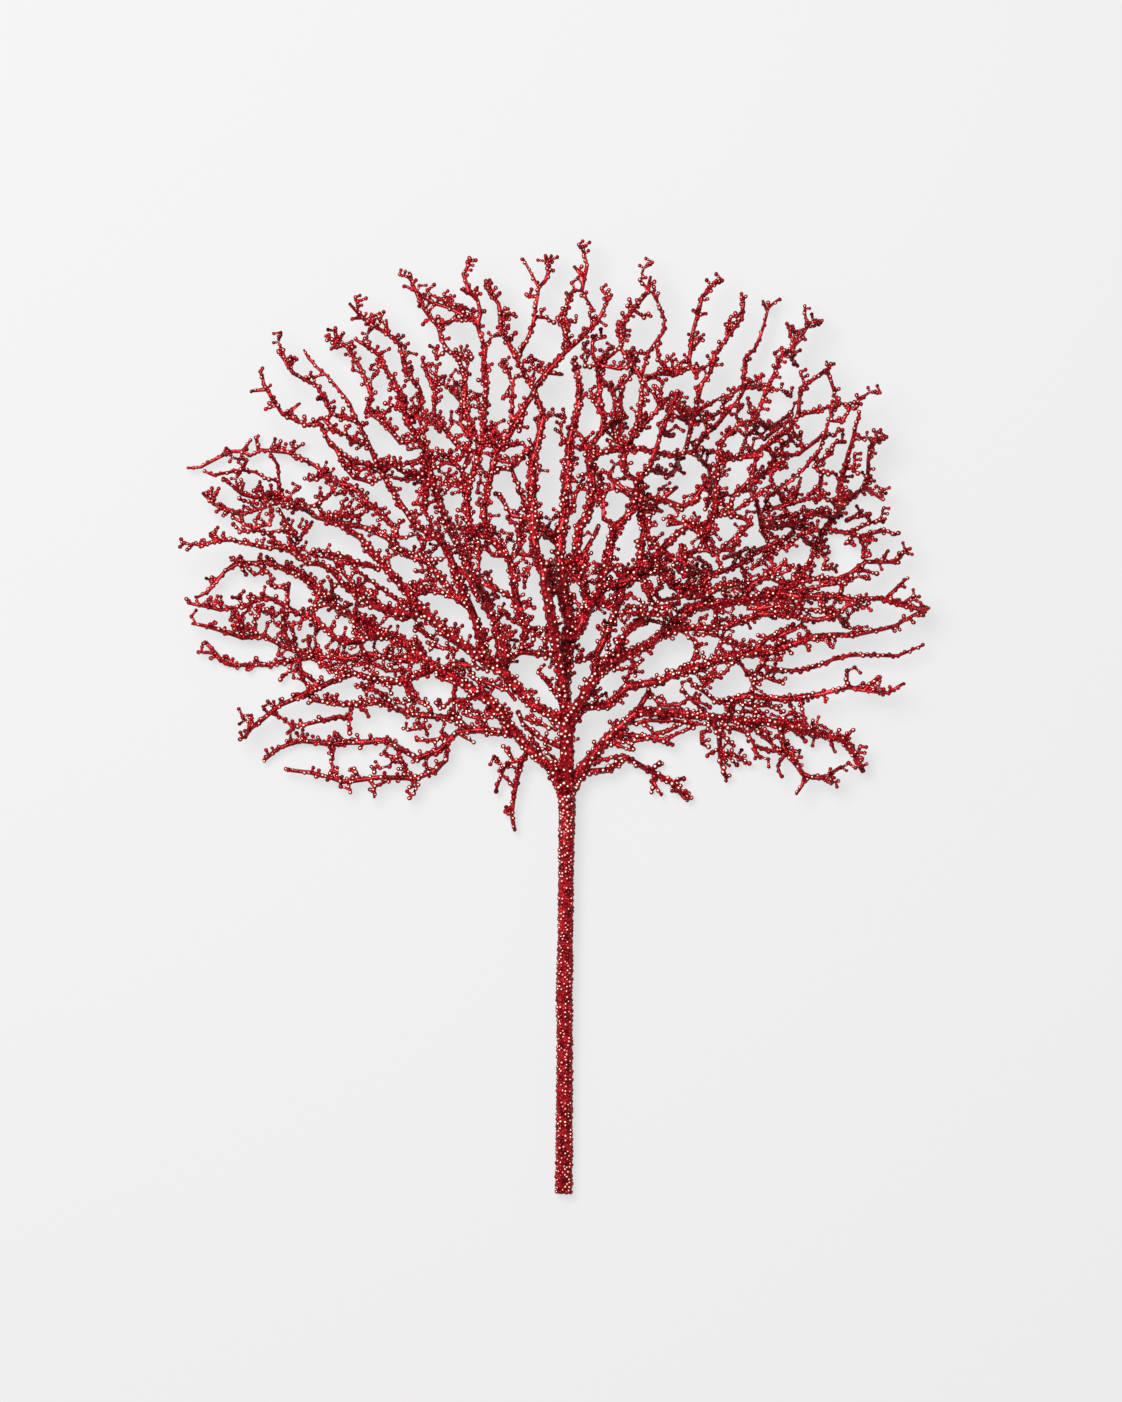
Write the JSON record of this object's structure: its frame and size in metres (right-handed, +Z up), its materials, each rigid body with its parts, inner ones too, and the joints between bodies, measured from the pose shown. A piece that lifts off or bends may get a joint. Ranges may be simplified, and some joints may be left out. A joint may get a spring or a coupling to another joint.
{
  "type": "artificial red coral branch",
  "caption": "Flat, much-branched red coral spray on one straight stem, lying down, for display.",
  "frame": {"origin": "on the table, under the middle of the spray's box", "axes": "+Y from the stem's cut end up the spray, +Z up from the table through the spray's depth"},
  "size_m": [0.449, 0.5686, 0.0528],
  "materials": {
    "coral_red": "glossy beaded red"
  },
  "bodies": {
    "root": {"centre_inner_bough": "coral_red", "centre_left_limb": "coral_red", "centre_limb": "coral_red", "cross_branch": "coral_red", "fan_bough": "coral_red", "fan_inner_branch": "coral_red", "fan_low_link": "coral_red", "fan_middle_branch": "coral_red", "fan_right_branch": "coral_red", "far_right_branch": "coral_red", "far_top_branch": "coral_red", "hanging_sprig": "coral_red", "leaning_bough": "coral_red", "left_arch": "coral_red", "left_arching_branch": "coral_red", "left_bottom_branch": "coral_red", "left_crossing_branch": "coral_red", "left_edge_branch": "coral_red", "left_inner_limb": "coral_red", "left_long_branch": "coral_red", "left_low_limb": "coral_red", "left_lowest_branch": "coral_red", "left_mid_limb": "coral_red", "left_middle_branch": "coral_red", "left_second_limb": "coral_red", "left_third_branch": "coral_red", "left_tip_sprigs": "coral_red", "left_top_branch": "coral_red", "left_top_sprig": "coral_red", "left_upper_branch": "coral_red", "left_wavy_branch": "coral_red", "right_bottom_branch": "coral_red", "right_centre_limb": "coral_red", "right_crossing_branch": "coral_red", "right_drooping_sprig": "coral_red", "right_edge_branch": "coral_red", "right_far_branch": "coral_red", "right_link_branch": "coral_red", "right_low_branch": "coral_red", "right_low_fork": "coral_red", "right_low_limb": "coral_red", "right_mid_branch": "coral_red", "right_rising_branch": "coral_red", "right_second_limb": "coral_red", "right_third_limb": "coral_red", "right_tip_sprigs": "coral_red", "stem": "coral_red", "top_centre_branch": "coral_red", "top_far_branch": "coral_red", "top_inner_branch": "coral_red", "top_left_branch": "coral_red", "top_right_branch": "coral_red", "trunk": "coral_red", "upper_left_branch": "coral_red", "upper_left_fork": "coral_red", "upper_left_limb": "coral_red", "upper_left_sprig": "coral_red"}
  },
  "joints": []
}
